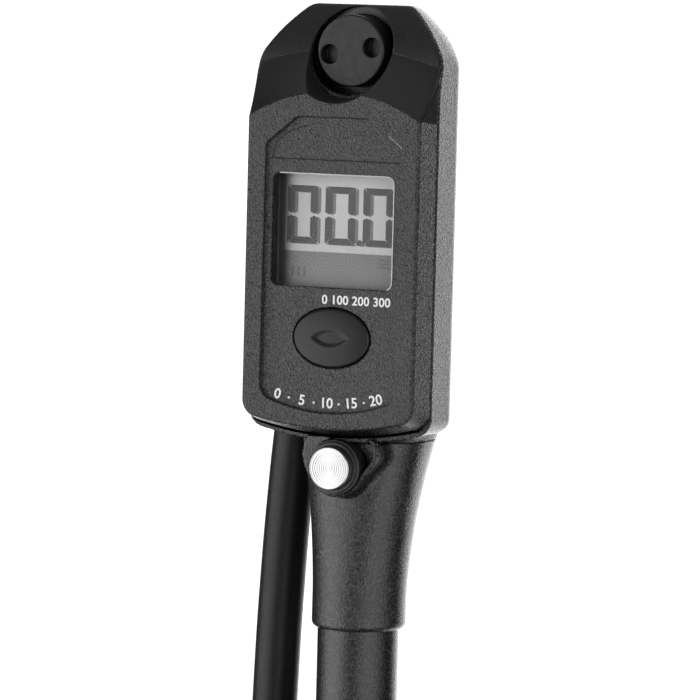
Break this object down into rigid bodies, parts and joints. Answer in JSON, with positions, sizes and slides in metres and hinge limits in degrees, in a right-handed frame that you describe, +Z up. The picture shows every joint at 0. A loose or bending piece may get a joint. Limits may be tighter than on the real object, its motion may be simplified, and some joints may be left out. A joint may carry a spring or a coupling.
{
  "type": "digital shock pump",
  "caption": "Hand-held high-pressure pump: sliding handle on a slim barrel, digital gauge head with bleed button, swivelling hose and knurled threaded chuck.",
  "frame": {"origin": "middle of the flat end of the handle, on the barrel's axis", "axes": "+Z up along the barrel to the gauge head, -Y towards the reader of the display, +X to the right in that view"},
  "size_m": [0.0603, 0.0451, 0.275],
  "materials": {
    "grained_black": "fine spark grain, matte",
    "cover_black": "fine spark grain on the face, satin at the top",
    "handle_plastic": "matte",
    "white_plastic": "machined acetal",
    "black_barrel": "black anodised, bead blasted",
    "bare_aluminium": "turned, satin",
    "steel": "ground",
    "brass": "machined",
    "cap_grey": "satin dark grey",
    "fitting_black": "satin black",
    "grip_rubber": "fine matte",
    "seal_rubber": "smooth",
    "key_rubber": "satin",
    "hose_rubber": "smooth satin",
    "board_green": "solder mask",
    "display_glass": "reflective liquid crystal glass",
    "clear_lens": "clear, polished"
  },
  "bodies": {
    "pump_head": {"barrel": "black_barrel", "barrel_gland": "brass", "gland_seal": "seal_rubber", "barrel_top_seal": "seal_rubber", "check_valve_seat": "brass", "check_valve_spring": "steel", "neck": "grained_black", "neck_nut": "steel", "air_tube": "steel", "swivel_block": "fitting_black", "swivel_bolt": "cap_grey", "swivel_spacer": "steel", "swivel_seals": "seal_rubber", "swivel_clip": "steel", "rear_housing": "grained_black", "front_cover": "cover_black", "housing_screws": "steel", "circuit_board": "board_green", "lcd_panel": "display_glass", "lcd_frame": "handle_plastic", "window_lens": "clear_lens", "tact_switch": "handle_plastic", "pressure_sensor": "steel", "coin_cell": "steel", "battery_contact": "brass", "bleed_collar": "cover_black", "bleed_spring": "steel"},
    "plunger": {"handle_end_cap": "handle_plastic", "handle_tube": "handle_plastic", "handle_grip": "grip_rubber", "handle_collar": "handle_plastic", "rod_nut": "steel", "bumper_ring": "seal_rubber", "plunger_rod": "steel", "piston": "white_plastic", "piston_seal": "seal_rubber", "piston_nut": "steel"},
    "check_valve": {"check_valve_disc": "seal_rubber"},
    "bleed_valve": {"bleed_button": "bare_aluminium", "bleed_stem": "steel"},
    "mode_key": {"mode_button": "key_rubber"},
    "battery_hatch": {"battery_door": "grained_black", "battery_door_seal": "seal_rubber"},
    "hose_arm": {"swivel_fitting": "fitting_black", "hose_ferrule_top": "bare_aluminium", "hose": "hose_rubber", "hose_ferrule_end": "bare_aluminium", "chuck_stem": "brass", "chuck_pin": "steel"},
    "chuck": {"chuck_collar": "bare_aluminium", "chuck_insert": "brass", "chuck_seal": "seal_rubber"}
  },
  "joints": [
    {"name": "plunger_slide", "type": "slide", "parent": "pump_head", "child": "plunger", "axis": [0, 0, -1], "range_m": [0, 0.1]},
    {"name": "check_valve_lift", "type": "slide", "parent": "pump_head", "child": "check_valve", "axis": [0, 0, 1], "range_m": [0, 0.0008], "stiffness_N_per_m": 120, "springref_m": -0.0005, "deforming": ["check_valve_spring"]},
    {"name": "bleed_press", "type": "slide", "parent": "pump_head", "child": "bleed_valve", "axis": [0, 1, 0], "range_m": [0, 0.0018], "stiffness_N_per_m": 800, "springref_m": -0.001, "deforming": ["bleed_spring"]},
    {"name": "key_press", "type": "slide", "parent": "pump_head", "child": "mode_key", "axis": [0, 1, 0], "range_m": [0, 0.0006], "stiffness_N_per_m": 1500, "springref_m": -0.0003},
    {"name": "battery_turn", "type": "hinge", "parent": "pump_head", "child": "battery_hatch", "pos_m": [0, 0.0055, 0.222], "axis": [0, 1, 0], "range_deg": [0, 45]},
    {"name": "hose_swivel", "type": "hinge", "parent": "pump_head", "child": "hose_arm", "pos_m": [0, 0.0145, 0.2644], "axis": [0, 1, 0], "range_deg": [0, 270]},
    {"name": "chuck_spin", "type": "hinge", "parent": "hose_arm", "child": "chuck", "pos_m": [-0.0283, 0.0145, 0.03], "axis": [0, 0, 1], "continuous": true}
  ]
}
